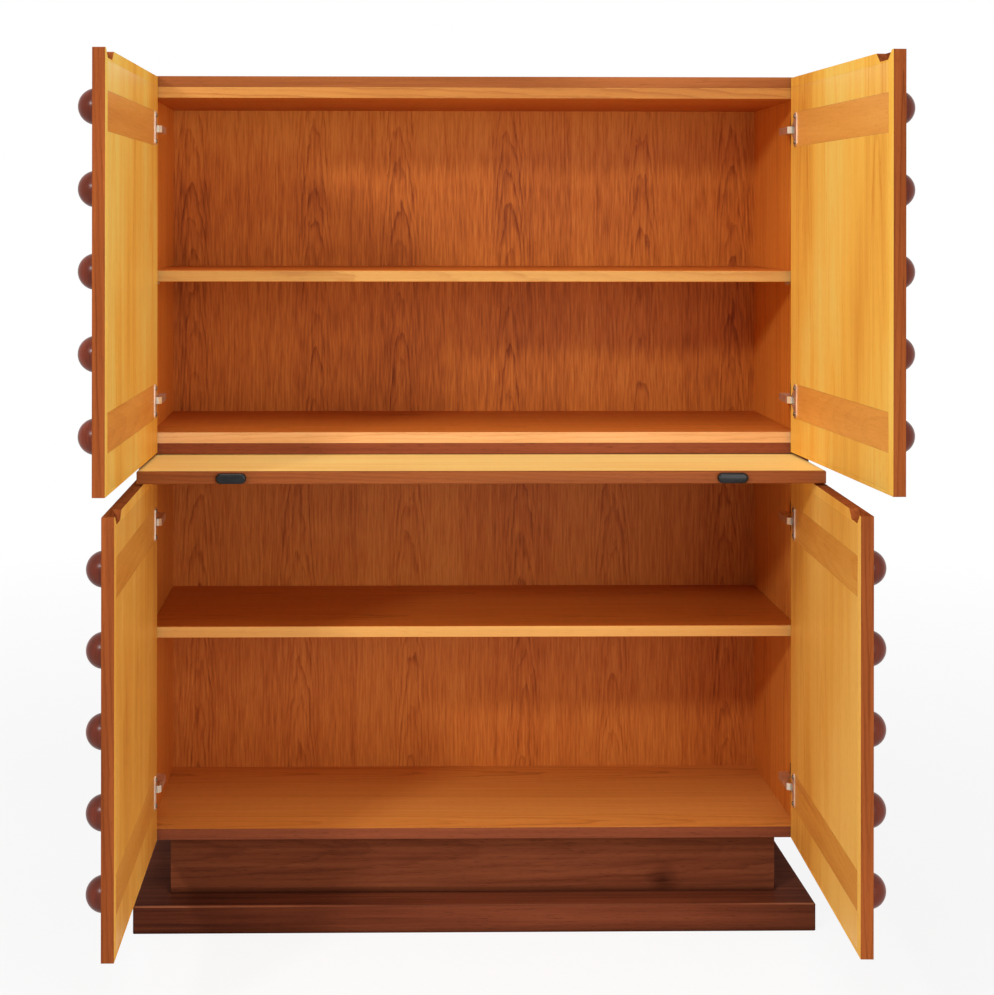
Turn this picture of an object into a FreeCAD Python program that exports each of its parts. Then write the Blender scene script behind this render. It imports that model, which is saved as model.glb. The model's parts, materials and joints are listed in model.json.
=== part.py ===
"""Drinks cabinet: two stacked cupboards with a pull-out serving board between them, on a recessed plinth.

Millimetres. +X is to the right, the front faces -Y and +Z is up. The origin is the middle of the base
board's underside. The doors stand open and the serving board is drawn out.
"""
import FreeCAD
import Part
import math
import os

V = FreeCAD.Vector

# Cupboards
inner_width = 1138.0
side_thickness = 20.0
board_thickness = 19.0
liner_thickness = 19.0
carcass_depth = 400.0
upper_height = 663.0
lower_height = 655.0
tongue_length = 8.0
tongue_thickness = 8.0
tongue_setback = 12.0
back_thickness = 6.0
back_rebate = 10.0

# Shelves and their pegs
shelf_thickness = 20.0
shelf_setback = 5.0
shelf_side_gap = 0.5
shelf_back_gap = 0.8
shelf_ease = 1.5
upper_shelf_rise = 283.0
lower_shelf_rise = 334.0
peg_radius = 3.0
peg_sunk = 10.0
peg_reach = 9.0
peg_inset = 60.0

# Plinth
base_thickness = 48.0
base_side_overhang = 6.5
base_front_overhang = 30.0
base_ease = 2.5
neck_height = 106.0
neck_thickness = 20.0
neck_side_inset = 52.0
neck_front_inset = 40.0
neck_back_inset = 40.0

# Doors
door_thickness = 19.0
door_gap = 3.5
door_overlay = 8.0
door_middle_gap = 3.0
door_outer_reveal = 1.5
door_slot_reveal = 3.5
free_lipping = 24.0
hinge_lipping = 6.0
top_lipping = 17.0
bottom_lipping = 6.0
batten_height = 60.0
batten_thickness = 3.0
hinge_rise = 92.0

# How far each door stands open, in degrees from shut
upper_left_open = 91.3
upper_right_open = 92.9
lower_left_open = 89.9
lower_right_open = 88.1

# Finger scoop in the inner top edge of a door
scoop_radius = 14.0
scoop_width = 74.0
scoop_foot = 40.0
scoop_inset = 46.0

# Knobs
knob_count = 5
knob_radius = 27.5
knob_reach = 29.5
knob_sides = 14
knob_bands = 3
knob_inset = 53.0
knob_margin = 84.0
dowel_radius = 5.0
dowel_length = 11.0

# Cup hinges
cup_radius = 17.5
cup_sides = 20
cup_inset = 22.0
cup_floor = 1.0
flange_thickness = 2.0
flange_height = 59.0
flange_start = 2.0
flange_width = 17.0
flange_corner = 4.0
flange_screw_spread = 45.0
flange_screw_offset = 9.5
pivot_inset = 9.0
pivot_cover = 7.5
pin_radius = 2.0
pin_square = 2.8
pin_clearance = 0.05
eye_radius = 3.5
eye_sides = 12
eye_clearance = 0.3
arm_height = 12.0
arm_slot_clearance = 1.0
neck_bar = 5.0
neck_clearance = 1.5
arm_body_start = 6.0
arm_body_end = 62.0
arm_tail_slope = 5.0
plate_thickness = 3.0
plate_start = 24.0
plate_width = 22.0
plate_height = 54.0
plate_corner = 5.0
plate_screw_spread = 34.0

# Wood screws of the hinges
screw_radius = 1.8
screw_length = 12.0
screw_head_radius = 3.6
screw_head_height = 1.6

# Serving board, its runners and its stops
serving_thickness = 20.0
serving_under_gap = 0.3
serving_over_gap = 1.2
serving_side_gap = 0.8
serving_rear_gap = 1.0
serving_lipping = 12.0
serving_ease = 2.0
serving_drawn = 220.0
serving_travel = 270.0
runner_width = 24.0
spacer_depth = 20.0
stop_radius = 4.0
stop_clearance = 0.3
stop_reach = 6.0
stop_sunk = 14.0
stop_inset = 40.0
groove_depth = 8.0

# Pulls on the serving board
pull_width = 50.0
pull_height = 17.0
pull_reach = 11.0
pull_round = 4.0
pull_inset = 154.0
pull_spigot_radius = 2.5
pull_spigot_length = 8.0
pull_spigot_spread = 24.0

# Flat sides on the pegs, dowels, stops and screws
bar_sides = 6

# Places worked out from the sizes above
half_inner = inner_width / 2
half_outer = half_inner + side_thickness
base_depth = carcass_depth + base_front_overhang
front = base_front_overhang - base_depth / 2
back = front + carcass_depth
lower_bottom = base_thickness + neck_height
lower_top = lower_bottom + lower_height
slot_height = serving_thickness + serving_under_gap + serving_over_gap
upper_bottom = lower_top + slot_height
upper_top = upper_bottom + upper_height
lower_shelf_bottom = lower_bottom + board_thickness + lower_shelf_rise
upper_shelf_bottom = upper_bottom + board_thickness + upper_shelf_rise
door_width = half_inner + door_overlay - door_middle_gap / 2
door_edge_x = half_inner + door_overlay
pivot_depth = door_thickness - pivot_cover
slot_depth = pivot_depth + eye_radius + eye_clearance
cup_depth = slot_depth + cup_floor
half_slot = arm_height / 2 + arm_slot_clearance
pivot_x = door_edge_x - pivot_inset
pivot_y = front - door_gap - pivot_depth
open_face_inset = pivot_inset - door_overlay + pivot_depth
neck_middle = open_face_inset + flange_thickness + neck_clearance + neck_bar / 2
slot_end = door_overlay + neck_middle + neck_bar / 2 + neck_clearance
serving_half = half_outer - runner_width - serving_side_gap
serving_bottom = lower_top + serving_under_gap
serving_shut_y = front - door_gap - door_thickness
serving_y = serving_shut_y - serving_drawn
serving_depth = back - spacer_depth - serving_rear_gap - serving_shut_y
stop_y = front + stop_inset
stop_z = serving_bottom + serving_thickness / 2
through = 1.0


def block(x0, x1, y0, y1, z0, z1):
    """A box between two corners."""
    return Part.makeBox(x1 - x0, y1 - y0, z1 - z0, V(x0, y0, z0))


def rod(radius, start, end):
    """A round bar from one point to another."""
    along = end - start
    return Part.makeCylinder(radius, along.Length, start, along)


def ring(centre, spoke, axis, sides):
    """The corners of a regular outline round an axis, closed on the first, which ends a spoke."""
    corners = [centre + FreeCAD.Rotation(axis, 360.0 * i / sides).multVec(spoke) for i in range(sides)]
    return corners + corners[:1]


def flat(corners):
    return Part.Face(Part.makePolygon(corners))


def bar(radius, start, end, sides=bar_sides):
    """A level bar with flat sides and a corner at its top."""
    along = end - start
    return flat(ring(start, V(0, 0, radius), along, sides)).extrude(along)


def cut_corner_plate(place, length, height, corner, along):
    """A plate with cut corners, centred on the origin and put in place by a function of two coordinates."""
    x = length / 2
    z = height / 2
    outline = [place(corner - x, -z), place(x - corner, -z), place(x, corner - z), place(x, z - corner),
               place(x - corner, z), place(corner - x, z), place(-x, z - corner), place(-x, corner - z)]
    return flat(outline + outline[:1]).extrude(along)


def edges_where(shape, test):
    """The straight edges of a shape whose both ends pass a test."""
    return [e for e in shape.Edges if len(e.Vertexes) == 2 and all(test(v.Point) for v in e.Vertexes)]


def mirrored(shape):
    """The same piece on the other side of the cabinet."""
    return shape.mirror(V(0, 0, 0), V(1, 0, 0))


def group(shapes):
    return Part.makeCompound(shapes)


def hinge_heights(z0, z1):
    """The heights of a door's two hinges."""
    return [z0 + hinge_rise, z1 - hinge_rise]


# Carcass boards

def peg_places(shelf_bottom):
    return [(y, shelf_bottom - peg_radius) for y in (front + peg_inset, back - back_thickness - peg_inset)]


def tongue(z0):
    """The tongue along both ends of a top or bottom board, and the groove that it fills."""
    middle = z0 + board_thickness / 2
    reach = half_inner + tongue_length
    return block(-reach, reach, front + tongue_setback, back - tongue_setback,
                 middle - tongue_thickness / 2, middle + tongue_thickness / 2)


def back_space(z0, z1):
    """The room that a back panel takes in the rebates round it."""
    reach = half_inner + back_rebate
    lap = board_thickness - back_rebate
    return block(-reach, reach, back - back_thickness, back, z0 + lap, z1 - lap)


def plate_middle():
    return front + plate_start + plate_width / 2


def plate_screw_places(hinges):
    return [(plate_middle(), z + s * plate_screw_spread / 2) for z in hinges for s in (-1, 1)]


def right_side(z0, z1, shelf_bottom, hinges):
    """A cupboard's side, grooved for its boards and bored for the pegs and the hinge screws."""
    side = block(half_inner, half_outer, front, back, z0, z1)
    cuts = [tongue(z0), tongue(z1 - board_thickness), back_space(z0, z1)]
    for y, z in peg_places(shelf_bottom):
        cuts.append(bar(peg_radius, V(half_inner - through, y, z), V(half_inner + peg_sunk, y, z)))
    for y, z in plate_screw_places(hinges):
        cuts.append(bar(screw_radius, V(half_inner - through, y, z), V(half_inner + screw_length, y, z)))
    return side.cut(cuts)


def end_board(z0, carcass_z0, carcass_z1):
    """A top or bottom board with a tongue on each end and a rebate for the back."""
    board = block(-half_inner, half_inner, front, back, z0, z0 + board_thickness)
    return board.fuse(tongue(z0)).removeSplitter().cut(back_space(carcass_z0, carcass_z1))


def liner(z0):
    """A pale board on the inside of a top or bottom board, between the sides and before the back."""
    return block(-half_inner, half_inner, front, back - back_thickness, z0, z0 + liner_thickness)


def shelf(bottom):
    reach = half_inner - shelf_side_gap
    face_y = front + shelf_setback
    rear_y = back - back_thickness - shelf_back_gap
    board = block(-reach, reach, face_y, rear_y, bottom, bottom + shelf_thickness)
    front_edges = edges_where(board, lambda p: abs(p.y - face_y) < shelf_ease / 2)
    long_edges = [e for e in front_edges if e.Length > inner_width / 2]
    return board.makeFillet(shelf_ease, long_edges)


def pegs(shelf_bottom):
    right = [bar(peg_radius, V(half_inner - peg_reach, y, z), V(half_inner + peg_sunk, y, z))
             for y, z in peg_places(shelf_bottom)]
    return group(right + [mirrored(p) for p in right])


def upper_liners():
    return {
        "upper_floor_liner": liner(upper_bottom + board_thickness),
        "upper_top_liner": liner(upper_top - board_thickness - liner_thickness),
    }


def carcass(name, z0, z1, shelf_bottom, hinges):
    """The named boards of one cupboard."""
    side = right_side(z0, z1, shelf_bottom, hinges)
    return {
        name + "_right_side": side,
        name + "_left_side": mirrored(side),
        name + "_bottom_board": end_board(z0, z0, z1),
        name + "_top_board": end_board(z1 - board_thickness, z0, z1),
        name + "_back_panel": back_space(z0, z1),
        name + "_shelf": shelf(shelf_bottom),
        name + "_shelf_pegs": pegs(shelf_bottom),
    }


# Plinth

def base_board():
    reach = half_outer + base_side_overhang
    board = block(-reach, reach, front - base_front_overhang, back, 0, base_thickness)
    top_edges = edges_where(board, lambda p: p.z > base_thickness / 2)
    front_corners = edges_where(board, lambda p: p.y < front - base_front_overhang / 2)
    upright = [e for e in front_corners if e.BoundBox.ZLength > base_thickness / 2]
    return board.makeChamfer(base_ease, top_edges + upright)


def neck():
    """The four boards of the recessed frame under the cupboards."""
    x1 = half_outer - neck_side_inset
    y0 = front + neck_front_inset
    y1 = back - neck_back_inset
    side = block(x1 - neck_thickness, x1, y0 + neck_thickness, y1 - neck_thickness,
                 base_thickness, lower_bottom)
    return {
        "plinth_neck_front": block(-x1, x1, y0, y0 + neck_thickness, base_thickness, lower_bottom),
        "plinth_neck_back": block(-x1, x1, y1 - neck_thickness, y1, base_thickness, lower_bottom),
        "plinth_neck_right": side,
        "plinth_neck_left": mirrored(side),
    }


# Doors. A door is drawn shut, as a right-hand one: u runs from its hinge edge, v from its inner face.

def at(u, v, z):
    """A point of a shut right-hand door."""
    return V(door_edge_x - u, front - door_gap - v, z)


def door_block(u0, u1, v0, v1, z0, z1):
    a = at(u0, v0, z0)
    b = at(u1, v1, z1)
    return block(b.x, a.x, b.y, a.y, z0, z1)


def scoop(z1):
    """The finger scoop: a cove along the inner top edge, tapered at its ends."""
    u = door_width - scoop_inset
    cove = rod(scoop_radius, at(u - scoop_width, 0, z1), at(u + scoop_width, 0, z1))
    slope = (scoop_width - scoop_foot) / 2 / scoop_radius
    top = scoop_width / 2 + slope * through
    foot = scoop_foot / 2 - slope * through
    corners = [at(u - top, -through, z1 + through), at(u + top, -through, z1 + through),
               at(u + foot, -through, z1 - scoop_radius - through),
               at(u - foot, -through, z1 - scoop_radius - through)]
    taper = flat(corners + corners[:1]).extrude(V(0, -door_thickness, 0))
    return cove.common(taper)


def knob_heights(z0, z1):
    step = (z1 - z0 - 2 * knob_margin) / (knob_count - 1)
    return [z0 + knob_margin + i * step for i in range(knob_count)]


def dowel(z):
    u = door_width - knob_inset
    return bar(dowel_radius, at(u, door_thickness - dowel_length, z), at(u, door_thickness, z))


def knob(z):
    """A half-ball in flat-sided bands that close on its tip, with its dowel."""
    foot = at(door_width - knob_inset, door_thickness, z)
    out = V(0, -knob_reach, 0)
    rings = []
    for i in range(knob_bands):
        angle = math.radians(90.0 * i / knob_bands)
        spoke = V(0, 0, knob_radius * math.cos(angle))
        rings.append(ring(foot + out * math.sin(angle), spoke, out, knob_sides))
    tip = foot + out
    faces = [flat(rings[0])]
    for i in range(knob_sides):
        for a, b in zip(rings, rings[1:]):
            faces.append(flat([a[i], a[i + 1], b[i + 1], b[i], a[i]]))
        faces.append(flat([rings[-1][i], rings[-1][i + 1], tip, rings[-1][i]]))
    return Part.Solid(Part.makeShell(faces)).fuse(dowel(z))


def cup_body(z):
    return bar(cup_radius, at(cup_inset, 0, z), at(cup_inset, cup_depth, z), cup_sides)


def arm_slot(z):
    """The room in the cup and the door's edge where the arm turns."""
    return door_block(-through, slot_end, -flange_thickness - through, slot_depth,
                      z - half_slot, z + half_slot)


def flange_screw_places(z):
    return [(cup_inset + flange_screw_offset, z + s * flange_screw_spread / 2) for s in (-1, 1)]


def flange_shank(u, z):
    return bar(screw_radius, at(u, -flange_thickness, z), at(u, screw_length - flange_thickness, z))


def flange_screw(u, z):
    seat = at(u, -flange_thickness, z)
    head = bar(screw_head_radius, seat + V(0, screw_head_height, 0), seat)
    return flange_shank(u, z).fuse(head)


def pin_core(z):
    """The square bar through the pin, flush with the cup, whose ends can't turn in the cup's ears."""
    half = pin_square / 2
    square = door_block(pivot_inset - half, pivot_inset + half, pivot_depth - half, pivot_depth + half,
                        z - cup_radius, z + cup_radius)
    return square.common(cup_body(z))


def hinge_pin(z):
    """A pin that is round between the ears and square in them."""
    journal = rod(pin_radius, at(pivot_inset, pivot_depth, z - half_slot),
                  at(pivot_inset, pivot_depth, z + half_slot))
    return journal.fuse(pin_core(z))


def hinge_cup(z):
    """The cup with its screw flange, slotted for the arm between the two ears that hold the pin."""
    wing_u = cup_inset + flange_start + flange_width / 2
    wing = cut_corner_plate(lambda x, y: at(wing_u + x, -flange_thickness, z + y),
                            flange_width, flange_height, flange_corner, V(0, -flange_thickness, 0))
    cuts = [arm_slot(z), pin_core(z)] + [flange_shank(u, s) for u, s in flange_screw_places(z)]
    return cup_body(z).fuse(wing).removeSplitter().cut(cuts)


def door_pieces(z0, z1):
    """The pieces of one shut right-hand door, by name."""
    hinges = hinge_heights(z0, z1)
    inner_u = door_width - free_lipping
    batten_u = cup_inset + flange_start + flange_width
    low = z0 + bottom_lipping
    high = z1 - top_lipping
    pockets = [cup_body(z) for z in hinges] + [arm_slot(z) for z in hinges]
    screw_places = [place for z in hinges for place in flange_screw_places(z)]
    pilots = [flange_shank(u, z) for u, z in screw_places]
    bands = [door_block(batten_u, inner_u, 0, batten_thickness, z - batten_height / 2, z + batten_height / 2)
             for z in hinges]
    sockets = [dowel(z) for z in knob_heights(z0, z1)]
    strips = [
        door_block(inner_u, door_width, 0, door_thickness, low, high).cut(sockets),
        door_block(0, hinge_lipping, 0, door_thickness, low, high).cut(pockets),
        door_block(0, door_width, 0, door_thickness, high, z1).cut(scoop(z1)),
        door_block(0, door_width, 0, door_thickness, z0, low),
    ]
    panel = door_block(hinge_lipping, inner_u, 0, door_thickness, low, high)
    return {
        "panel": panel.cut(bands + pockets + pilots + sockets),
        "lipping": group(strips),
        "battens": group(bands),
        "knobs": group([knob(z) for z in knob_heights(z0, z1)]),
        "hinge_cups": group([hinge_cup(z) for z in hinges]),
        "hinge_pins": group([hinge_pin(z) for z in hinges]),
        "hinge_screws": group([flange_screw(u, z) for u, z in screw_places]),
    }


def doors(name, z0, z1, left_open, right_open):
    """Both doors of a cupboard, turned open about their hinge pins."""
    nodes = {}
    for side, angle in (("right", right_open), ("left", left_open)):
        for piece, shape in door_pieces(z0, z1).items():
            shape.rotate(V(pivot_x, pivot_y, 0), V(0, 0, 1), angle)
            nodes[name + "_" + side + "_door_" + piece] = mirrored(shape) if side == "left" else shape
    return nodes


# Hinge arms and plates on the right-hand sides: w runs inward from the side's face.

def wall(w, y, z):
    return V(half_inner - w, y, z)


def hinge_arm(z):
    """A cranked arm from the mounting plate to the pin in the cup."""
    low = z - arm_height / 2
    pin_w = half_inner - pivot_x
    near = neck_middle - neck_bar / 2
    far = neck_middle + neck_bar / 2
    tail = front + arm_body_end
    outer_y = pivot_y - neck_bar / 2
    inner_y = pivot_y + neck_bar / 2
    outline = [
        wall(pin_w, outer_y, low),
        wall(near, outer_y, low),
        wall(far, inner_y, low),
        wall(far, tail - arm_tail_slope, low),
        wall(far - arm_tail_slope, tail, low),
        wall(plate_thickness, tail, low),
        wall(plate_thickness, front + plate_start, low),
        wall(near, front + arm_body_start, low),
        wall(near, inner_y, low),
        wall(pin_w, inner_y, low),
    ]
    rise = V(0, 0, arm_height)
    pivot = wall(pin_w, pivot_y, low)
    eye = flat(ring(pivot, V(eye_radius, 0, 0), rise, eye_sides)).extrude(rise)
    bore = rod(pin_radius + pin_clearance, pivot, pivot + rise)
    return flat(outline + outline[:1]).extrude(rise).fuse(eye).removeSplitter().cut(bore)


def plate_screw(y, z):
    seat = wall(plate_thickness, y, z)
    shank = bar(screw_radius, seat, wall(-screw_length, y, z))
    head = bar(screw_head_radius, seat - V(screw_head_height, 0, 0), seat)
    return shank.fuse(head)


def hinge_plate(z):
    plate = cut_corner_plate(lambda y, h: wall(0, plate_middle() + y, z + h),
                             plate_width, plate_height, plate_corner, V(-plate_thickness, 0, 0))
    holes = [bar(screw_radius, wall(plate_thickness, y, h), wall(0, y, h))
             for y, h in plate_screw_places([z])]
    return plate.cut(holes)


def both_sides(shapes):
    return group(shapes + [mirrored(s) for s in shapes])


def hinge_mountings(hinges):
    return {
        "hinge_arms": both_sides([hinge_arm(z) for z in hinges]),
        "hinge_plates": both_sides([hinge_plate(z) for z in hinges]),
        "hinge_plate_screws": both_sides([plate_screw(y, z) for y, z in plate_screw_places(hinges)]),
    }


# Serving board and what guides it

def stop_rod():
    x = serving_half + serving_side_gap
    return bar(stop_radius, V(x - stop_reach, stop_y, stop_z), V(x + stop_sunk, stop_y, stop_z))


def runners():
    inner = half_outer - runner_width
    rail = block(inner, half_outer, front, back, lower_top, upper_bottom).cut(stop_rod())
    return {
        "right_runner": rail,
        "left_runner": mirrored(rail),
        "rear_spacer": block(-inner, inner, back - spacer_depth, back, lower_top, upper_bottom),
        "stop_pins": both_sides([stop_rod()]),
    }


def stop_groove():
    """The blind groove in the board's right edge that runs on the stop pin."""
    half = stop_radius + stop_clearance
    shut_y = stop_y - serving_drawn
    return block(serving_half - groove_depth, serving_half + through,
                 shut_y - half, shut_y + serving_travel + half, stop_z - half, stop_z + half)


def pull_places():
    reach = serving_half - pull_inset
    return [-reach, reach]


def pull_spigots(x):
    y = serving_y
    return [bar(pull_spigot_radius, V(x + s * pull_spigot_spread / 2, y, stop_z),
                V(x + s * pull_spigot_spread / 2, y + pull_spigot_length, stop_z)) for s in (-1, 1)]


def pull(x):
    """A small bar with half-round ends and a sloped rim, on two spigots in the lipping."""
    r = pull_height / 2
    run = pull_width / 2 - r
    y = serving_y
    ends = [V(x + side * run, y, stop_z) for side in (-1, 1)]
    left, right = ends
    up = V(0, 0, r)
    out = V(r, 0, 0)
    outline = [
        Part.LineSegment(left - up, right - up),
        Part.Arc(right - up, right + out, right + up),
        Part.LineSegment(right + up, left + up),
        Part.Arc(left + up, left - out, left - up),
    ]
    body = Part.Face(Part.Wire([e.toShape() for e in outline])).extrude(V(0, -pull_reach, 0))
    rim = [e for e in body.Edges if e.BoundBox.YMax < y - pull_reach + pull_round / 2]
    return body.makeChamfer(pull_round, rim).fuse(pull_spigots(x))


def serving_pieces():
    lip_y = serving_y + serving_lipping
    top = serving_bottom + serving_thickness
    board = block(-serving_half, serving_half, lip_y, serving_y + serving_depth, serving_bottom, top)
    groove = stop_groove()
    lipping = block(-serving_half, serving_half, serving_y, lip_y, serving_bottom, top)
    front_edges = edges_where(lipping, lambda p: p.y < serving_y + serving_ease / 2)
    long_edges = [e for e in front_edges if e.Length > serving_half]
    lipping = lipping.makeFillet(serving_ease, long_edges)
    return {
        "serving_board": board.cut([groove, mirrored(groove)]),
        "serving_board_lipping": lipping.cut([s for x in pull_places() for s in pull_spigots(x)]),
        "serving_board_pulls": group([pull(x) for x in pull_places()]),
    }


# Assembly

lower_door = (lower_bottom + door_outer_reveal, lower_top - door_slot_reveal)
upper_door = (upper_bottom + door_slot_reveal, upper_top - door_outer_reveal)
lower_hinges = hinge_heights(*lower_door)
upper_hinges = hinge_heights(*upper_door)

nodes = {"base_board": base_board()}
nodes.update(neck())
nodes.update(carcass("lower", lower_bottom, lower_top, lower_shelf_bottom, lower_hinges))
nodes.update(carcass("upper", upper_bottom, upper_top, upper_shelf_bottom, upper_hinges))
nodes.update(upper_liners())
nodes.update(runners())
nodes.update(serving_pieces())
nodes.update(hinge_mountings(lower_hinges + upper_hinges))
nodes.update(doors("lower", *lower_door, lower_left_open, lower_right_open))
nodes.update(doors("upper", *upper_door, upper_left_open, upper_right_open))

os.makedirs("parts", exist_ok=True)
for name, shape in nodes.items():
    shape.exportStep("parts/" + name + ".step")
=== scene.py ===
"""Looks of the drinks cabinet: wood finishes, turned knobs, pulls, screws, light, floor and camera."""

import json
import math

import bmesh
import bpy
from mathutils import Matrix, Vector
from mathutils.geometry import tessellate_polygon


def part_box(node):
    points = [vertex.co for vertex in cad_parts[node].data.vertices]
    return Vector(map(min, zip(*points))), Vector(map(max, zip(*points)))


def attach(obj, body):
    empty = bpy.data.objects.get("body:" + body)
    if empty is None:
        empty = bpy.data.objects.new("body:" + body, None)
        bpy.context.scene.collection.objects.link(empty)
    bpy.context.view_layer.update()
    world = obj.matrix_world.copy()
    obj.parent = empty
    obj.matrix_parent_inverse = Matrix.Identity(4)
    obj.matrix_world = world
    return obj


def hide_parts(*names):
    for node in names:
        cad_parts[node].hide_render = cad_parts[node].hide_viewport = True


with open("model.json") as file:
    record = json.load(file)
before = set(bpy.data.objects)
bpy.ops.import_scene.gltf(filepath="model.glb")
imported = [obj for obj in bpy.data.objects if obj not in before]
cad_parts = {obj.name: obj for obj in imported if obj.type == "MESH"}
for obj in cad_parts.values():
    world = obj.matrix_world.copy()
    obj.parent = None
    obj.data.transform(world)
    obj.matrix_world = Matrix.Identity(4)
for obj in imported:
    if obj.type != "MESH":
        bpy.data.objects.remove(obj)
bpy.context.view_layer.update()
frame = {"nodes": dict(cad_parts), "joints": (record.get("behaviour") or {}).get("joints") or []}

# Camera, fitted to the corners of the photograph: places in metres, angles in radians
image_width = 994
image_height = 995
focal_pixels = 1966.0
straight_ahead_pixel = (407.5, 225.0)
camera_place = Vector((-0.176, -3.639, 1.2326))
camera_turn = 0.0166
camera_roll = 0.0009
sensor_width = 36.0

# Light and floor: places and lengths in metres, power in watts
key_place = Vector((-2.15, -3.6, 2.45))
key_size = 0.35
key_power = 55.0
overhead_place = Vector((-0.2, -1.8, 3.3))
overhead_size = 2.0
overhead_power = 44.0
fill_place = Vector((1.3, -4.1, 1.3))
fill_size = 2.0
fill_power = 46.0
light_aim = Vector((0.0, -0.3, 0.8))
ambient = 0.4
white = (1.0, 1.0, 1.0, 1.0)
floor_paint = (0.9, 0.9, 0.9, 1.0)
floor_glow = 0.86
floor_reach = 24.0
floor_fade = (1.2, 4.0)

# Turned and pressed pieces: metres and degrees; a screw's crown, shoulder and recess are shares of its head
knob_segments = 48
knob_rings = 14
pull_arc_steps = 12
pull_rim = 0.0032
pull_rim_steps = 5
screw_segments = 24
screw_shoulder = 0.45
screw_shoulder_steps = 3
screw_crown = 0.8
recess_half_width = 0.0005
recess_reach = 0.55
recess_depth = 0.0009
crease_angle = 40.0

# Reading the solids of the frame: digits of a metre, metres, and shares of a radius
weld_digits = 5
level_tolerance = 1e-5
knob_rim_share = 0.99
screw_rim_share = 0.9

# Growth of the wood: lengths in metres, noise scales per metre across and along the grain
log_spacing = 0.05
log_foot = (-0.65, -0.85, 0.1)
log_shift = 0.25
pith_depth = 0.016
leaf_stray = 0.3
leaf_tone = 0.14
sway_scales = (2.5, 2.2)
sway_sideways = 0.03
sway_deep = 0.012
wobble_scales = (70.0, 18.0)
wobble_reach = 0.0055
late_wood_rise = (0.4, 0.86)
late_wood_fall = (1.0, 0.92)
late_wood_power = 1.6
ring_scales = (190.0, 1.5)
ring_strength = (0.3, 0.68, 0.25, 1.0)
flame_core = (0.8, 1.5)
flame_outside = 0.2
streak_scale = 1.6
broad_scales = (4.0, 1.3)
pore_scales = (1300.0, 45.0)
pore_span = (0.62, 0.74)
knot_wobble = 0.03
knot_shade = 0.5

# Shade of the wood, from 0 for light to 1 for dark, and how grain and pores change its gloss and height
plain_shade = 0.4
ring_balance = 0.2
light_shade = 0.05
middle_shade = 0.45
dark_shade = 0.95
pore_roughness = 0.18
fibre_roughness = 0.16
fibre_height = 0.6
pore_height = 0.7
ring_height = 0.35

# Finish: lengths in metres
grain_bump = 0.22
grain_relief = 0.0008
knob_bump = 0.1
knob_relief = 0.0005
fine_relief = 0.0003
edge_softness = 0.0011
edge_samples = 4
rim_span = (0.99, 0.8)
# Painted shade of inner corners, from ambient occlusion: its reach in metres, its samples and the span it
# darkens over
corner_shade_reach = 0.012
corner_shade_samples = 4
corner_shade_span = (0.95, 0.5)
facing_limit = 0.9
flat_limit = 0.9995

# Metal and plastic: noise scales per metre along X, Y and Z
steel_streaks = (900.0, 900.0, 60.0)
steel_clouds = (60.0, 60.0, 60.0)
steel_cloud_span = (0.35, 0.75)
steel_dulling = 0.72
steel_roughness = (0.34, 0.54)
steel_bump = 0.08
plastic_smears = (90.0, 300.0, 300.0)
plastic_roughness = (0.22, 0.42)
plastic_bump = 0.06
streak_span = (0.2, 0.8)

door_names = [level + "_" + side + "_door" for level in ("lower", "upper") for side in ("left", "right")]
X, Y, Z = range(3)
toward = {"left": Vector((-1, 0, 0)), "right": Vector((1, 0, 0)),
          "up": Vector((0, 0, 1)), "down": Vector((0, 0, -1)),
          "front": Vector((0, -1, 0)), "front_up": Vector((0, -1, 1)).normalized()}
inward = {"left": toward["right"], "right": toward["left"]}


def srgb(red, green, blue):
    """A colour written as it looks on screen, 0 to 255, as the linear colour that a shader takes."""
    def linear(value):
        value /= 255
        return value / 12.92 if value < 0.04045 else ((value + 0.055) / 1.055) ** 2.4
    return linear(red), linear(green), linear(blue), 1.0


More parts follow.
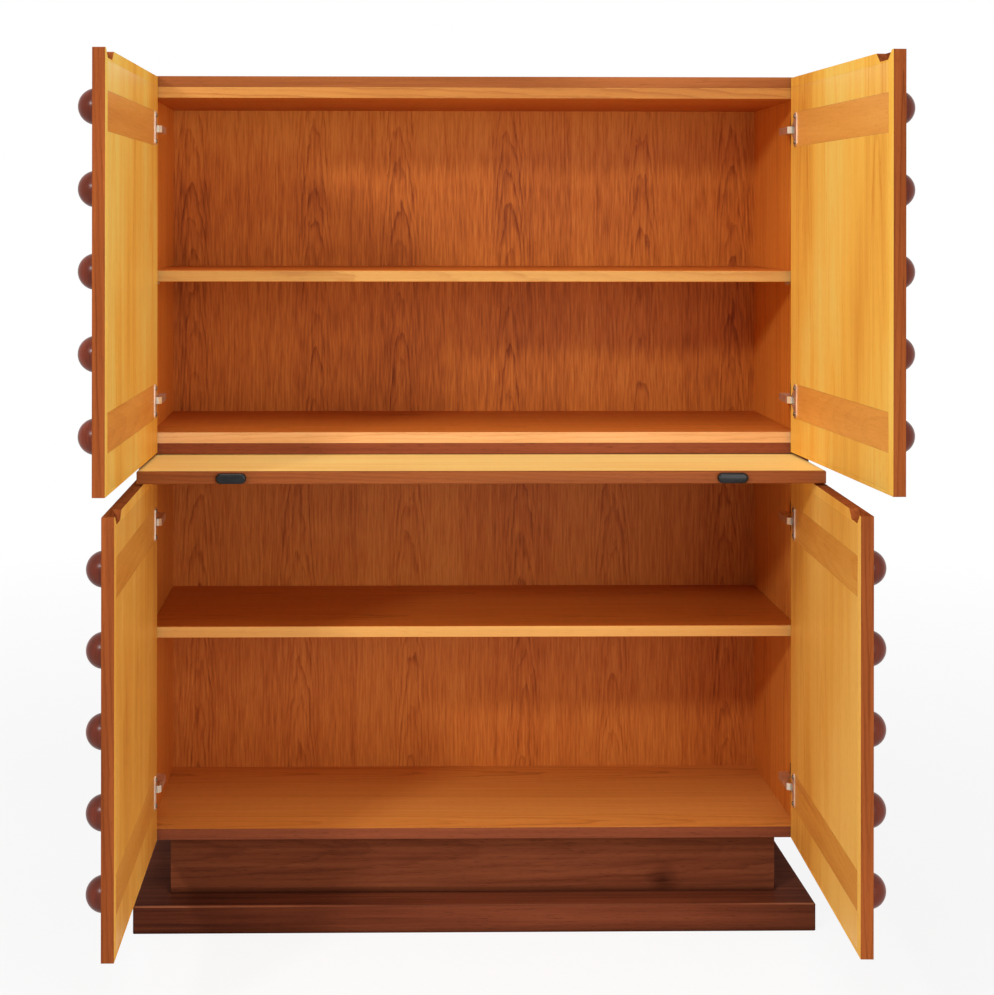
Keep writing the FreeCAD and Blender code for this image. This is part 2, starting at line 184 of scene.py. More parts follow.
class Tree:
    """Short calls that add nodes to one node tree."""

    def __init__(self, tree):
        self.tree = tree

    def feed(self, socket, value):
        """Links an output to a socket, or sets a constant on it."""
        if isinstance(value, bpy.types.NodeSocket):
            self.tree.links.new(value, socket)
        elif value is not None:
            socket.default_value = value

    def feed_named(self, node, **values):
        """Feeds sockets by name, with _ for a space in it."""
        for name, value in values.items():
            self.feed(node.inputs[name.replace("_", " ")], value)

    def add(self, kind, *values, **settings):
        node = self.tree.nodes.new("ShaderNode" + kind)
        for setting, value in settings.items():
            setattr(node, setting, value)
        for socket, value in zip(node.inputs, values):
            self.feed(socket, value)
        return node

    def math(self, operation, *values):
        return self.add("Math", *values, operation=operation).outputs[0]

    def total(self, first, *others):
        """The sum of several values."""
        for other in others:
            first = self.math("ADD", first, other)
        return first

    def vector(self, x, y, z):
        return self.add("CombineXYZ", x, y, z).outputs[0]

    def scaled(self, vector, scales):
        return self.add("VectorMath", vector, scales, operation="MULTIPLY").outputs[0]

    def dot(self, first, second):
        return self.add("VectorMath", first, second, operation="DOT_PRODUCT").outputs["Value"]

    def length(self, vector):
        return self.add("VectorMath", vector, operation="LENGTH").outputs["Value"]

    def place(self):
        """Where the surface is, in the row's frame at rest."""
        return self.add("TexCoord").outputs["Object"]

    def noise(self, vector, detail):
        node = self.add("TexNoise", vector)
        self.feed_named(node, Scale=1.0, Detail=detail)
        return node.outputs[0]

    def spread(self, value, low, high, to_low=0.0, to_high=1.0):
        return self.add("MapRange", value, low, high, to_low, to_high).outputs[0]

    def ramp(self, value, *stops):
        node = self.add("ValToRGB", value)
        while len(node.color_ramp.elements) < len(stops):
            node.color_ramp.elements.new(1.0)
        for element, (position, colour) in zip(node.color_ramp.elements, stops):
            element.position = position
            element.color = colour
        return node.outputs[0]

    def mix(self, factor, first, second, kind="Color"):
        node = self.add("Mix", data_type="RGBA" if kind == "Color" else "FLOAT")
        sockets = {socket.identifier: socket for socket in node.inputs}
        self.feed(sockets["Factor_Float"], factor)
        self.feed(sockets["A_" + kind], first)
        self.feed(sockets["B_" + kind], second)
        return next(socket for socket in node.outputs if socket.identifier == "Result_" + kind)

    def bump(self, height, strength, relief, normal=None):
        node = self.add("Bump")
        self.feed_named(node, Strength=strength, Distance=relief, Height=height, Normal=normal)
        return node.outputs[0]


def wood_group(name, along, across, colours, leaf=0.22, pitch=0.0065, taper=0.03, foot=None, core=0.05,
               rings=0.5, fibre_width=0.003, fibre_length=0.22, fibre=0.35, streak_width=0.012, streaks=0.3,
               tone=0.35, pores=0.35, gloss=0.42, painted_light_gradient=None, knot=None, seed=0.0):
    """A node group with a wood's colour, roughness and height: sliced leaves with growth rings about a pith.

    The rings show as flames within the core width of each leaf's middle and fade into straight grain outside
    it. A painted light gradient is an axis, the distances along it from the row's middle where its painted
    shade is darkest and where its painted light is palest, and an amount. A knot is a place along, a place
    across and a radius.
    """
    depth = 3 - along - across
    group = bpy.data.node_groups.new(name, "ShaderNodeTree")
    for socket, kind in (("Colour", "Color"), ("Roughness", "Float"), ("Height", "Float")):
        group.interface.new_socket(socket, in_out="OUTPUT", socket_type="NodeSocket" + kind)
    t = Tree(group)
    axes = t.add("SeparateXYZ", t.place()).outputs
    length, width, thick = axes[along], axes[across], axes[depth]

    def stretched(width_scale, length_scale, detail=3.0):
        """Noise drawn out along the grain."""
        return t.noise(t.vector(t.math("MULTIPLY_ADD", width, width_scale, seed),
                                t.math("MULTIPLY", length, length_scale),
                                t.math("MULTIPLY", thick, width_scale)), detail)

    def centred(value):
        return t.math("SUBTRACT", value, 0.5)

    # Each leaf of veneer has its own start along the log, its own middle and its own tone
    leaf_number = t.math("FLOOR", t.math("DIVIDE", width, leaf))
    draw = t.add("TexWhiteNoise", None, t.math("ADD", leaf_number, seed), noise_dimensions="1D")
    draws = t.add("SeparateColor", draw.outputs["Color"]).outputs
    past_edge = t.math("SUBTRACT", width, t.math("MULTIPLY", leaf_number, leaf))
    in_leaf = t.math("SUBTRACT", past_edge, leaf / 2)
    off_middle = t.math("MULTIPLY_ADD", draws[0], leaf * leaf_stray, -leaf * leaf_stray / 2)
    foot = log_foot[along] if foot is None else foot
    start = t.math("SUBTRACT", t.math("MULTIPLY_ADD", draws[1], log_shift, length), foot)

    # Growth rings: distance from a pith that runs slightly out of line with the board
    sway = centred(stretched(*sway_scales, detail=2.0))
    wobble = centred(stretched(*wobble_scales))
    sideways = t.total(in_leaf, off_middle, t.math("MULTIPLY", sway, sway_sideways))
    deep = t.total(t.math("MULTIPLY_ADD", start, taper, pith_depth), t.math("PINGPONG", thick, log_spacing),
                   t.math("MULTIPLY", sway, sway_deep))
    squares = t.total(t.math("MULTIPLY", sideways, sideways), t.math("MULTIPLY", deep, deep))
    radius = t.math("MULTIPLY_ADD", wobble, wobble_reach, t.math("SQRT", squares))
    age = t.math("FRACT", t.math("DIVIDE", radius, pitch))
    late = t.math("MULTIPLY", t.spread(age, *late_wood_rise), t.spread(age, *late_wood_fall))
    late = t.math("POWER", late, late_wood_power)
    ring_place = t.vector(t.math("MULTIPLY", radius, ring_scales[0]),
                          t.math("MULTIPLY", length, ring_scales[1]), seed)
    strength = t.spread(t.noise(ring_place, 1.0), *ring_strength)
    flame = t.spread(t.math("ABSOLUTE", sideways), core * flame_core[0], core * flame_core[1], 1.0,
                     flame_outside)
    late = t.math("MULTIPLY", t.math("MULTIPLY", late, strength), flame)

    # Fibres, streaks and pores, and how dark the wood is with all of them
    fine = centred(stretched(1 / fibre_width, 1 / fibre_length))
    streak = centred(stretched(1 / streak_width, streak_scale))
    broad = centred(stretched(*broad_scales))
    pore = t.spread(stretched(*pore_scales, detail=1.0), *pore_span)
    shade = t.total(t.math("MULTIPLY_ADD", late, rings, plain_shade - rings * ring_balance),
                    t.math("MULTIPLY", fine, fibre), t.math("MULTIPLY", streak, streaks),
                    t.math("MULTIPLY", broad, tone),
                    t.math("MULTIPLY_ADD", draws[2], leaf_tone, -leaf_tone / 2))
    # Painted light and shade: a gradient along an axis that darkens the wood towards one place and lightens
    # it towards another
    if painted_light_gradient:
        axis, shaded_end, lit_end, amount = painted_light_gradient
        shade = t.total(shade, t.spread(t.math("ABSOLUTE", axes[axis]), shaded_end, lit_end, amount, -amount))
    if knot:
        knot_along, knot_across, knot_radius = knot
        spot = t.vector(t.math("SUBTRACT", length, knot_along), t.math("SUBTRACT", width, knot_across), 0.0)
        off = t.math("MULTIPLY_ADD", wobble, knot_wobble, t.length(spot))
        shade = t.total(shade, t.spread(off, knot_radius, 0.0, 0.0, knot_shade))
    light, middle, dark = colours
    colour = t.ramp(shade, (light_shade, light), (middle_shade, middle), (dark_shade, dark))
    colour = t.mix(t.math("MULTIPLY", pore, pores), colour, dark)
    rough = t.total(t.math("MULTIPLY_ADD", pore, pore_roughness, gloss),
                    t.math("MULTIPLY", fine, fibre_roughness))
    hollows = t.total(t.math("MULTIPLY", pore, pore_height), t.math("MULTIPLY", late, ring_height))
    height = t.math("SUBTRACT", t.math("MULTIPLY", fine, fibre_height), hollows)
    out = group.nodes.new("NodeGroupOutput")
    for socket, value in zip(out.inputs, (colour, rough, height)):
        t.feed(socket, value)
    return group


def surface(name, coat, coat_roughness=0.22, specular=0.5):
    """A material with its tree and its shader, whose constant values are set here."""
    material = bpy.data.materials.new(name)
    material.use_nodes = True
    t = Tree(material.node_tree)
    shader = material.node_tree.nodes["Principled BSDF"]
    t.feed_named(shader, Specular_IOR_Level=specular, Coat_Weight=coat, Coat_Roughness=coat_roughness)
    return material, t, shader


def wood_material(name, base, *finishes, coat=0.0, specular=0.12, rim=0.12, corner_shade=0.0, limit=facing_limit):
    """A material of a base wood group, and of others with the direction that a surface faces to show each.

    Polish darkens the last millimetre along the edges by the share in rim, and painted shade from ambient
    occlusion darkens the inner corners by its share. The limit is the least cosine between the surface's
    normal and the direction.
    """
    material, t, shader = surface(name, coat, specular=specular)
    facing = t.add("TexCoord").outputs["Normal"]
    colour, rough, height = t.add("Group", node_tree=base).outputs
    for group, direction in finishes:
        other = t.add("Group", node_tree=group).outputs
        here = t.math("GREATER_THAN", t.dot(facing, direction), limit)
        colour = t.mix(here, colour, other["Colour"])
        rough = t.mix(here, rough, other["Roughness"], "Float")
        height = t.mix(here, height, other["Height"], "Float")
    soft = t.add("Bevel", edge_softness, samples=edge_samples).outputs[0]
    level = t.dot(soft, t.add("NewGeometry").outputs["True Normal"])
    colour = t.mix(t.spread(level, *rim_span, 0.0, rim), colour, polish)
    # Painted shade: inner corners darkened by ambient occlusion
    if corner_shade:
        corner = t.add("AmbientOcclusion", None, corner_shade_reach, samples=corner_shade_samples).outputs["AO"]
        colour = t.mix(t.spread(corner, *corner_shade_span, 0.0, corner_shade), colour, corner_shade_colour)
    t.feed_named(shader, Base_Color=colour, Roughness=rough,
                 Normal=t.bump(height, grain_bump, grain_relief, soft))
    return material


def assign(material, *nodes):
    """Gives CAD nodes a material."""
    for node in nodes:
        mesh = frame["nodes"][node].data
        mesh.materials.clear()
        mesh.materials.append(material)


# What darkens edges, and the painted shade of inner corners
polish = srgb(52, 22, 10)
corner_shade_colour = srgb(34, 14, 9)

# Stains and veneers: light, middle and dark
honey = (srgb(238, 182, 102), srgb(222, 160, 86), srgb(188, 112, 50))
sandy = (srgb(212, 162, 90), srgb(197, 143, 77), srgb(167, 101, 46))
cream = (srgb(240, 196, 142), srgb(222, 166, 108), srgb(180, 112, 58))
# Painted shade: a darker copy of the shelf-edge colours, for the top liner's front edge
tawny_painted_shade = (srgb(200, 140, 70), srgb(186, 122, 57), srgb(152, 86, 36))
sunlit = (srgb(255, 232, 148), srgb(255, 218, 130), srgb(236, 170, 86))
golden = (srgb(255, 224, 120), srgb(254, 194, 82), srgb(222, 138, 48))
mellow = (srgb(250, 196, 98), srgb(240, 174, 74), srgb(204, 122, 44))
# Painted light: a lighter copy of umber, for the upper back
cinnamon_painted_light = (srgb(226, 144, 60), srgb(204, 116, 43), srgb(142, 66, 21))
amber = (srgb(234, 152, 66), srgb(212, 124, 48), srgb(146, 68, 22))
copper = (srgb(248, 164, 70), srgb(230, 138, 50), srgb(162, 80, 26))
umber = (srgb(218, 134, 58), srgb(196, 108, 42), srgb(138, 64, 22))
chestnut = (srgb(214, 126, 52), srgb(196, 106, 38), srgb(140, 64, 20))
ginger = (srgb(236, 164, 84), srgb(220, 142, 64), srgb(166, 90, 36))
russet = (srgb(246, 176, 84), srgb(230, 154, 68), srgb(188, 108, 44))
toffee = (srgb(236, 172, 80), srgb(222, 150, 62), srgb(188, 106, 42))
bare = (srgb(226, 190, 140), srgb(206, 164, 112), srgb(160, 116, 70))
stain = (srgb(148, 80, 50), srgb(124, 64, 40), srgb(74, 36, 24))
dark_stain = (srgb(136, 74, 46), srgb(112, 58, 36), srgb(66, 32, 21))
plinth_stain = (srgb(127, 67, 43), srgb(103, 52, 33), srgb(59, 28, 19))
edge_stain = (srgb(159, 84, 41), srgb(135, 68, 33), srgb(86, 40, 22))
lipping_stain = (srgb(168, 98, 51), srgb(144, 80, 39), srgb(100, 51, 26))
# Lighter than the plinth stain, both as wear and as a painted highlight
rubbed_and_highlit_stain = (srgb(158, 98, 66), srgb(120, 66, 43), srgb(78, 38, 26))
serving_stain = (srgb(156, 84, 36), srgb(133, 67, 27), srgb(92, 42, 18))
knob_stain = (srgb(136, 54, 24), srgb(98, 34, 13), srgb(48, 15, 5))

# Woods of the cupboards' insides
flamed = {"leaf": 0.21, "pitch": 0.0038, "taper": 0.042, "core": 0.026, "fibre_width": 0.0038,
          "fibre_length": 0.06, "fibre": 1.15, "streaks": 0.6}
# Painted light and shade: the upper back is lighter than the lower, lighter at its very top and darker below
upper_back = wood_group("upper_back", Z, X, cinnamon_painted_light, **flamed, foot=0.83, rings=0.42,
                        painted_light_gradient=(Z, 1.3, 1.43, 0.15), seed=3.0)
lower_back = wood_group("lower_back", Z, X, umber, **flamed, foot=0.15, rings=0.52, seed=83.0)
upright = {"leaf": 0.24, "rings": 0.3, "fibre": 0.6, "streaks": 0.5}
upper_side = wood_group("upper_side", Z, Y, copper, **upright, seed=11.0)
lower_side = wood_group("lower_side", Z, Y, amber, **upright, seed=13.0)
level_veneer = wood_group("level_veneer", X, Y, chestnut, leaf=0.26, rings=0.3, streaks=0.4, seed=5.0)
floor_veneer = wood_group("floor_veneer", X, Y, ginger, leaf=0.26, rings=0.3, streaks=0.4, seed=71.0)
lower_edge = wood_group("lower_edge", X, Z, honey, leaf=0.26, rings=0.25, fibre=0.25, tone=0.4, seed=7.0)
upper_edge = wood_group("upper_edge", X, Z, sandy, leaf=0.26, rings=0.25, fibre=0.25, tone=0.4, seed=73.0)
pale_edge = wood_group("pale_edge", X, Z, cream, leaf=0.26, rings=0.25, fibre=0.4, tone=1.6, seed=79.0)
# Painted shade: the top liner's front edge is darker than the floor liner's
painted_shade_edge = wood_group("painted_shade_edge", X, Z, tawny_painted_shade, leaf=0.26, rings=0.35, tone=1.6, seed=9.0)
serving_veneer = wood_group("serving_veneer", X, Y, sunlit, leaf=0.3, rings=0.2, streaks=0.7, tone=0.8,
                            seed=17.0)

# Woods of the doors' insides
mild = {"streak_width": 0.03, "streaks": 0.6}
# Painted light and shade: the doors' inner faces are darker near the hinges and lighter towards the free
# edges
upper_door = wood_group("upper_door", Z, Y, golden, **mild, leaf=0.19, rings=0.2, tone=1.5,
                        painted_light_gradient=(Y, 0.2, 0.78, 0.16), seed=23.0)
lower_door = wood_group("lower_door", Z, Y, mellow, **mild, leaf=0.19, rings=0.2, tone=1.5,
                        painted_light_gradient=(Y, 0.2, 0.78, 0.2), seed=27.0)
upper_band = wood_group("upper_band", Y, Z, russet, **mild, leaf=0.2, rings=0.15, fibre=0.3, tone=1.0,
                        seed=29.0)
lower_band = wood_group("lower_band", Y, Z, toffee, **mild, leaf=0.2, rings=0.15, fibre=0.3, tone=1.0,
                        seed=30.0)

# Stained woods of the outsides, the edges and the plinth
plain = {"leaf": 0.2, "rings": 0.2, "streaks": 0.6, "tone": 0.6, "pores": 0.6}
upright_stain = wood_group("upright_stain", Z, Y, stain, **plain, seed=31.0)
level_stain = wood_group("level_stain", X, Z, stain, **plain, seed=37.0)
deep_stain = wood_group("deep_stain", Y, Z, stain, **plain, seed=41.0)
back_stain = wood_group("back_stain", Z, X, stain, leaf=0.3, rings=0.35, streaks=0.6, pores=0.6, seed=43.0)
# Painted shade: the plinth stain is darker towards its ends along X and lighter in the middle
base_stain = wood_group("base_stain", X, Z, plinth_stain, leaf=0.2, rings=0.2, streaks=0.9, tone=1.5,
                        pores=0.6, painted_light_gradient=(X, 0.57, 0.36, 0.13), seed=39.0)
neck_stain = wood_group("neck_stain", X, Z, dark_stain, leaf=0.2, rings=0.2, streaks=0.9, tone=1.0, pores=0.6,
                        knot=(0.338, 0.068, 0.034), seed=40.0)
# The rubbed arris is lighter both as wear and as a painted highlight
rubbed_and_highlit_edge = wood_group("rubbed_and_highlit_edge", X, Z, rubbed_and_highlit_stain, leaf=0.2, rings=0.2, streaks=1.2, tone=2.4,
                         seed=59.0)
# Painted light and shade: the door lippings are darker on the upper doors and lighter towards the bottom of
# the lower doors
door_edge = wood_group("door_edge", Z, Y, edge_stain, leaf=0.2, rings=0.3, fibre=0.5, streaks=0.8, tone=0.9,
                       painted_light_gradient=(Z, 0.75, 0.25, 0.1), seed=47.0)
board_edge = wood_group("board_edge", X, Y, lipping_stain, leaf=0.3, rings=0.2, streaks=0.8, tone=1.2,
                        seed=53.0)
serving_edge = wood_group("serving_edge", X, Y, serving_stain, leaf=0.3, rings=0.2, streaks=0.5, tone=0.6,
                          seed=57.0)
knob_grain = wood_group("knob_grain", Z, Y, knob_stain, leaf=0.5, pitch=0.004, rings=0.12, fibre=0.3,
                        streaks=0.6, tone=0.8, gloss=0.3, seed=61.0)
peg_grain = wood_group("peg_grain", X, Y, bare, leaf=0.5, pitch=0.003, seed=67.0)


def outward(door):
    """The direction that a door's outer face looks at rest, from the angle its joint has opened by."""
    joint = next(joint for joint in frame["joints"] if joint["child"] == door)
    opened = math.radians(-joint["range_deg"][0])
    side = joint["axis"][2]
    return Vector((side * math.sin(opened), -math.cos(opened), 0))


def finish_cupboards():
    """Stained outsides, veneered insides and pale shelf edges of both cupboards."""
    backs = {"lower": lower_back, "upper": upper_back}
    sides = {"lower": lower_side, "upper": upper_side}
    floors = {"lower": floor_veneer, "upper": level_veneer}
    edges = {"lower": lower_edge, "upper": upper_edge}
    for level in ("lower", "upper"):
        for side in ("left", "right"):
            name = "%s_%s_side" % (level, side)
            assign(wood_material(name, upright_stain, (sides[level], inward[side])), name)
        back = level + "_back_panel"
        assign(wood_material(back, back_stain, (backs[level], toward["front"])), back)
        top = level + "_top_board"
        assign(wood_material(top, level_stain, (level_veneer, toward["down"]),
                             (board_edge, toward["front"]), specular=0.05), top)
        bottom = level + "_bottom_board"
        assign(wood_material(bottom, level_stain, (floors[level], toward["up"]), specular=0.05),
               bottom)
        shelf = level + "_shelf"
        assign(wood_material(shelf, level_veneer, (edges[level], toward["front"])), shelf)
    assign(wood_material("floor_liner", level_veneer, (pale_edge, toward["front"])),
           "upper_floor_liner")
    assign(wood_material("top_liner", level_veneer, (painted_shade_edge, toward["front"])), "upper_top_liner")
    assign(wood_material("peg_wood", peg_grain, coat=0.05), "lower_shelf_pegs", "upper_shelf_pegs",
           "stop_pins")


def finish_plinth_and_board():
    """The dull dark plinth with a rubbed upper edge that is also a painted highlight, painted shade in its
    inner corners and towards its ends, and the serving board with its runners.
    """
    dull = 0.002
    assign(wood_material("plinth_base", base_stain, (rubbed_and_highlit_edge, toward["front_up"]), specular=dull,
                         corner_shade=0.8), "base_board")
    assign(wood_material("plinth_neck", neck_stain, specular=dull, corner_shade=0.8), "plinth_neck_front")
    assign(wood_material("plinth_level", base_stain, specular=dull), "plinth_neck_back",
           "rear_spacer")
    assign(wood_material("plinth_deep", deep_stain, specular=dull), "plinth_neck_left",
           "plinth_neck_right", "left_runner", "right_runner")
    assign(wood_material("serving_board", serving_veneer), "serving_board")
    assign(wood_material("serving_lipping", serving_edge), "serving_board_lipping")


def finish_doors():
    """Veneer on the doors' flat inner faces, stain outside, and stained lippings at edges and scoops."""
    for door in door_names:
        outer = outward(door)
        veneer = upper_door if "upper" in door else lower_door
        assign(wood_material(door + "_panel", upright_stain, (veneer, -outer), rim=0.0,
                             limit=flat_limit), door + "_panel")
        assign(wood_material(door + "_lipping", door_edge, (veneer, -outer), (upright_stain, outer),
                             specular=0.0, rim=0.0, limit=flat_limit), door + "_lipping")
        band = upper_band if "upper" in door else lower_band
        assign(wood_material(door + "_battens", band, rim=0.55), door + "_battens")


def brushed_metal(name, tint):
    """Steel with streaks along its height and duller clouds."""
    material, t, shader = surface(name, coat=0.0)
    streaks = t.noise(t.scaled(t.place(), steel_streaks), 3.0)
    cloud = t.noise(t.scaled(t.place(), steel_clouds), 2.0)
    dull = tuple(steel_dulling * channel for channel in tint[:3]) + (1.0,)
    t.feed_named(shader, Base_Color=t.mix(t.spread(cloud, *steel_cloud_span), tint, dull), Metallic=1.0,
                 Roughness=t.spread(streaks, *streak_span, *steel_roughness),
                 Normal=t.bump(streaks, steel_bump, fine_relief))
    return material


def turned_wood():
    """Dark lacquered wood of the knobs, under a soft gloss coat."""
    material, t, shader = surface("knob_wood", coat=0.5, coat_roughness=0.3, specular=0.02)
    colour, rough, height = t.add("Group", node_tree=knob_grain).outputs
    t.feed_named(shader, Base_Color=colour, Roughness=rough, Normal=t.bump(height, knob_bump, knob_relief))
    return material


def black_plastic():
    """Black plastic of the pulls, with smears along their length."""
    material, t, shader = surface("pull_plastic", coat=0.2, coat_roughness=0.1, specular=0.15)
    smear = t.noise(t.scaled(t.place(), plastic_smears), 3.0)
    t.feed_named(shader, Base_Color=t.ramp(smear, (0.3, srgb(15, 15, 17)), (0.8, srgb(30, 30, 31))),
                 Roughness=t.spread(smear, *streak_span, *plastic_roughness),
                 Normal=t.bump(smear, plastic_bump, fine_relief))
    return material


def solids(node):
    """The corner points of each separate solid in a CAD node."""
    mesh = frame["nodes"][node].data
    keys = [tuple(round(value, weld_digits) for value in vertex.co) for vertex in mesh.vertices]
    parent = {key: key for key in keys}

    def top(key):
        while parent[key] != key:
            key = parent[key]
        return key

    for polygon in mesh.polygons:
        first, *others = [keys[index] for index in polygon.vertices]
        for other in others:
            parent[top(other)] = top(first)
    groups = {}
    for key in parent:
        groups.setdefault(top(key), []).append(Vector(key))
    return [groups[key] for key in sorted(groups)]


def standing(axis, foot):
    """The placement that turns +Z to an axis and puts the origin at a foot point."""
    return Matrix.Translation(foot) @ axis.to_track_quat("Z", "Y").to_matrix().to_4x4()


def circle(radius, height, segments):
    """Points about the Z axis."""
    angles = [2 * math.pi * step / segments for step in range(segments)]
    return [Vector((radius * math.cos(angle), radius * math.sin(angle), height)) for angle in angles]


def join_rows(mesh, rows):
    """Closes the band of faces between each two rows of vertices; a row of one vertex is a tip."""
    for low, high in zip(rows, rows[1:]):
        for step in range(max(len(low), len(high))):
            corners = [low[step % len(low)], low[(step + 1) % len(low)], high[(step + 1) % len(high)],
                       high[step % len(high)]]
            mesh.faces.new(list(dict.fromkeys(corners)))


def lathe(mesh, profile, segments, place):
    """Turns a profile of (radius, height) points; a point on the axis closes that end."""
    rows = []
    for radius, height in profile:
        points = circle(radius, height, segments) if radius else [Vector((0, 0, height))]
        rows.append([mesh.verts.new(place @ point) for point in points])
    join_rows(mesh, rows)


def piece(name, mesh, material, body, slot, *nodes):
    """Finishes a mesh as a named piece that rides on a body and stands for CAD nodes."""
    bmesh.ops.recalc_face_normals(mesh, faces=mesh.faces)
    for face in mesh.faces:
        face.smooth = True
    data = bpy.data.meshes.new(name)
    mesh.to_mesh(data)
    mesh.free()
    data.materials.append(material)
    made = bpy.data.objects.new(name, data)
    bpy.context.scene.collection.objects.link(made)
    data.set_sharp_from_angle(angle=math.radians(crease_angle))
    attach(made, body)
    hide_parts(*nodes)


def turn_knobs(material):
    """Smooth half balls in place of the knobs' faceted solids, each with a small collar at the door."""
    for door in door_names:
        node = door + "_knobs"
        out = outward(door)
        mesh = bmesh.new()
        for points in solids(node):
            tip = max(points, key=out.dot)
            level_with_tip = [point - out * out.dot(point - tip) for point in points]
            spokes = [(point - tip).length for point in level_with_tip]
            radius = max(spokes)
            rim = [point for point, spoke in zip(points, spokes) if spoke > knob_rim_share * radius]
            reach = max(out.dot(tip - point) for point in rim)
            collar = reach - radius
            profile = [(0, 0), (radius - collar, 0), (radius, collar)]
            for ring in range(1, knob_rings):
                angle = math.pi / 2 * ring / knob_rings
                profile.append((radius * math.cos(angle), collar + radius * math.sin(angle)))
            profile.append((0, reach))
            lathe(mesh, profile, knob_segments, standing(out, tip - out * reach))
        piece(door + "_turned_knobs", mesh, material, door, "knob_wood", node)


def mould_pulls(material):
    """Pulls with round ends and a rounded front rim, seated on the serving board's lipping."""
    mesh = bmesh.new()
    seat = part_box("serving_board_lipping")[0].y
    for points in solids("serving_board_pulls"):
        low = Vector([min(point[axis] for point in points) for axis in range(3)])
        high = Vector([max(point[axis] for point in points) for axis in range(3)])
        middle = (low + high) / 2
        end_radius = (high.z - low.z) / 2
        straight = (high.x - low.x) / 2 - end_radius
        sections = [(0.0, seat)]
        for step in range(pull_rim_steps + 1):
            angle = math.pi / 2 * step / pull_rim_steps
            sections.append((pull_rim * (1 - math.cos(angle)), low.y + pull_rim * (1 - math.sin(angle))))
        rows = []
        for inset, y in sections:
            row = []
            for end in (1, -1):
                for step in range(pull_arc_steps + 1):
                    angle = -math.pi / 2 + math.pi * step / pull_arc_steps
                    x = end * (straight + (end_radius - inset) * math.cos(angle))
                    z = end * (end_radius - inset) * math.sin(angle)
                    row.append(mesh.verts.new((middle.x + x, y, middle.z + z)))
            rows.append(row)
        join_rows(mesh, rows)
        mesh.faces.new(rows[0])
        mesh.faces.new(rows[-1])
    piece("serving_board_moulded_pulls", mesh, material, "serving_slide", "pull_plastic",
          "serving_board_pulls")


def screw_head(mesh, radius, height, place):
    """A pan head with a rounded shoulder and a cross recess in its flat crown."""
    crown = radius * screw_crown
    shoulder = height * screw_shoulder
    levels = [(radius, 0.0), (radius, shoulder)]
    for step in range(1, screw_shoulder_steps + 1):
        angle = math.pi / 2 * step / screw_shoulder_steps
        levels.append((crown + (radius - crown) * math.cos(angle),
                       shoulder + (height - shoulder) * math.sin(angle)))
    rows = [circle(level_radius, level_height, screw_segments) for level_radius, level_height in levels]
    near, far = recess_half_width, radius * recess_reach
    arm = [(far, -near), (far, near), (near, near)]
    cross = []
    for quarter in range(4):
        turn = Matrix.Rotation(math.pi / 2 * quarter, 3, "Z")
        cross += [turn @ Vector((x, y, height)) for x, y in arm]
    made = [[mesh.verts.new(place @ point) for point in row] for row in rows]
    mouth = [mesh.verts.new(place @ point) for point in cross]
    floor = [mesh.verts.new(place @ (point - Vector((0, 0, recess_depth)))) for point in cross]
    join_rows(mesh, made)
    join_rows(mesh, [floor, mouth])
    mesh.faces.new(made[0])
    mesh.faces.new(floor)
    crown_points = made[-1] + mouth
    for corners in tessellate_polygon([rows[-1], cross]):
        mesh.faces.new([crown_points[corner] for corner in corners])


def turn_screws(material):
    """Pan-head screws for the hinge flanges on the doors and the hinge plates on the cupboards' sides."""
    holders = [(door + "_hinge_screws", door) for door in door_names] + [("hinge_plate_screws", "cabinet")]
    for node, body in holders:
        mesh = bmesh.new()
        for points in solids(node):
            middle = sum(points, Vector()) / len(points)
            if body == "cabinet":
                out = inward["right" if middle.x > 0 else "left"]
            else:
                out = -outward(body)
            reach = max(out.dot(point) for point in points)
            tops = [point for point in points if reach - out.dot(point) < level_tolerance]
            centre = sum(tops, Vector()) / len(tops)
            radius = max((point - centre).length for point in tops)
            spokes = [(point - centre - out * out.dot(point - centre)).length for point in points]
            height = max(reach - out.dot(point) for point, spoke in zip(points, spokes)
                         if spoke > radius * screw_rim_share)
            screw_head(mesh, radius, height, standing(out, centre - out * height))
        piece(node.replace("_screws", "_cross_screws"), mesh, material, body, "hinge_steel", node)


def seen_directly(t):
    """1 for camera, glossy and transmission rays, 0 for the light that surfaces gather."""
    ray = t.add("LightPath").outputs
    glossy = t.math("MAXIMUM", ray["Is Glossy Ray"], ray["Is Transmission Ray"])
    return t.math("MAXIMUM", ray["Is Camera Ray"], glossy)


def stage_floor():
    """A pale floor that keeps the shadow and fades to white away from the cabinet."""
    size = floor_reach / 2
    data = bpy.data.meshes.new("floor")
    data.from_pydata([(-size, -size, 0), (size, -size, 0), (size, size, 0), (-size, size, 0)], [],
                     [(0, 1, 2, 3)])
    floor = bpy.data.objects.new("floor", data)
    bpy.context.scene.collection.objects.link(floor)
    material = bpy.data.materials.new("floor_white")
    material.use_nodes = True
    t = Tree(material.node_tree)
    t.tree.nodes.clear()
    glow = t.add("Emission", white, 1.0).outputs[0]
    matt = t.add("BsdfDiffuse", floor_paint).outputs[0]
    fade = t.spread(t.length(t.place()), *floor_fade, floor_glow, 1.0)
    seen = t.math("MULTIPLY", seen_directly(t), fade)
    t.add("OutputMaterial", t.add("MixShader", seen, matt, glow).outputs[0])
    data.materials.append(material)


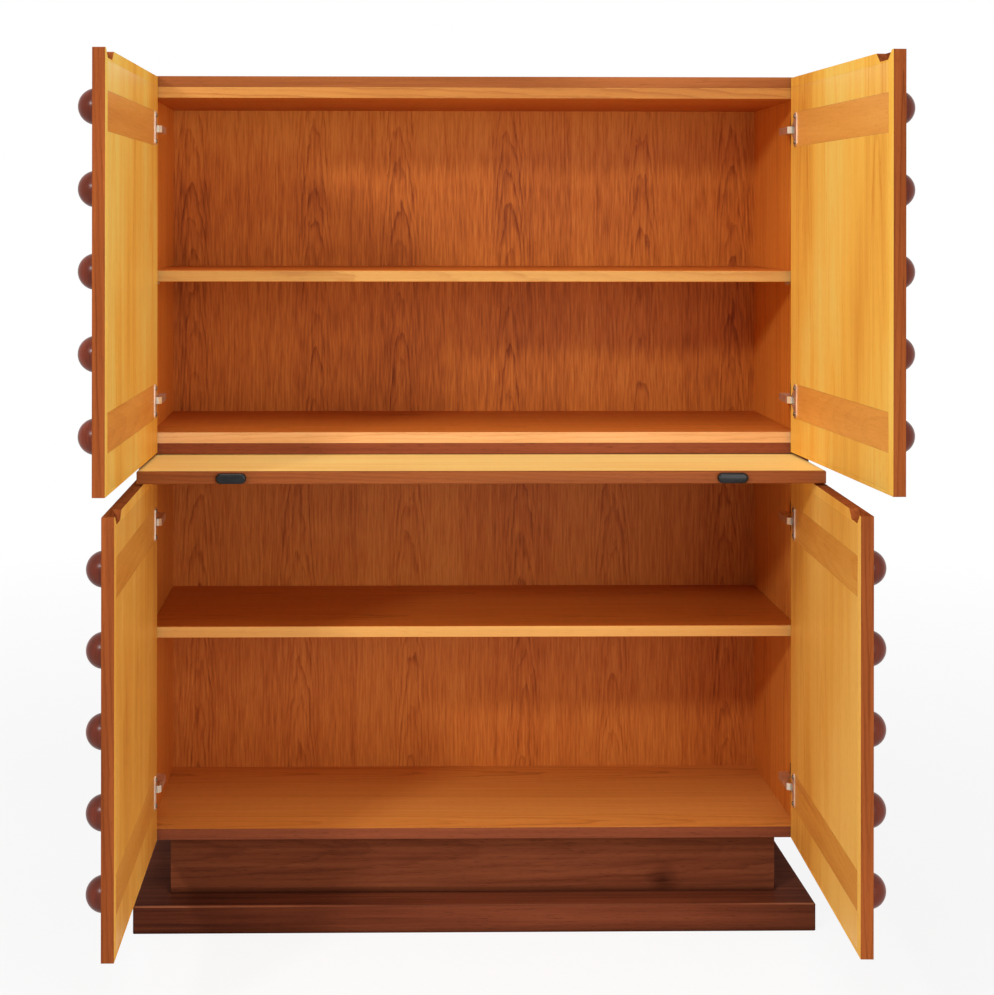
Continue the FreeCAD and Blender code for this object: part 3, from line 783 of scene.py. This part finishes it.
def light_scene():
    """A soft studio: three area lamps, an even world, and white where the world is seen directly."""
    scene = bpy.context.scene
    scene.world = bpy.data.worlds.new("studio")
    scene.world.use_nodes = True
    t = Tree(scene.world.node_tree)
    t.tree.nodes.clear()
    soft = t.add("Background", white, ambient).outputs[0]
    backdrop = t.add("Background", white, 1.0).outputs[0]
    t.add("OutputWorld", t.add("MixShader", seen_directly(t), soft, backdrop).outputs[0])
    lamps = (("key", key_place, key_size, key_power), ("fill", fill_place, fill_size, fill_power),
             ("overhead", overhead_place, overhead_size, overhead_power))
    for name, place, size, power in lamps:
        lamp = bpy.data.lights.new(name, "AREA")
        lamp.shape = "SQUARE"
        lamp.size = size
        lamp.energy = power
        lamp_object = bpy.data.objects.new(name, lamp)
        lamp_object.location = place
        lamp_object.rotation_euler = (light_aim - place).to_track_quat("-Z", "Y").to_euler()
        scene.collection.objects.link(lamp_object)
    scene.view_settings.view_transform = "Standard"


def place_camera():
    """A level camera whose picture is shifted, as the photograph's is."""
    data = bpy.data.cameras.new("camera")
    data.sensor_fit = "HORIZONTAL"
    data.sensor_width = sensor_width
    data.lens = focal_pixels / image_width * sensor_width
    data.shift_x = (image_width / 2 - straight_ahead_pixel[0]) / image_width
    data.shift_y = (straight_ahead_pixel[1] - image_height / 2) / image_width
    camera = bpy.data.objects.new("camera", data)
    camera.matrix_world = (Matrix.Translation(camera_place) @ Matrix.Rotation(-camera_turn, 4, "Z")
                           @ Matrix.Rotation(math.pi / 2, 4, "X") @ Matrix.Rotation(camera_roll, 4, "Z"))
    bpy.context.scene.collection.objects.link(camera)
    bpy.context.scene.camera = camera


finish_cupboards()
finish_plinth_and_board()
finish_doors()
plate_steel = brushed_metal("hinge_plate_steel", srgb(128, 116, 104))
assign(plate_steel, "hinge_plates")
assign(brushed_metal("hinge_arm_steel", srgb(244, 232, 212)), "hinge_arms")
cups_and_pins = [door + "_" + part for door in door_names for part in ("hinge_cups", "hinge_pins")]
assign(brushed_metal("hinge_cup_steel", srgb(250, 238, 222)), *cups_and_pins)
turn_knobs(turned_wood())
turn_screws(plate_steel)
mould_pulls(black_plastic())
stage_floor()
light_scene()
place_camera()
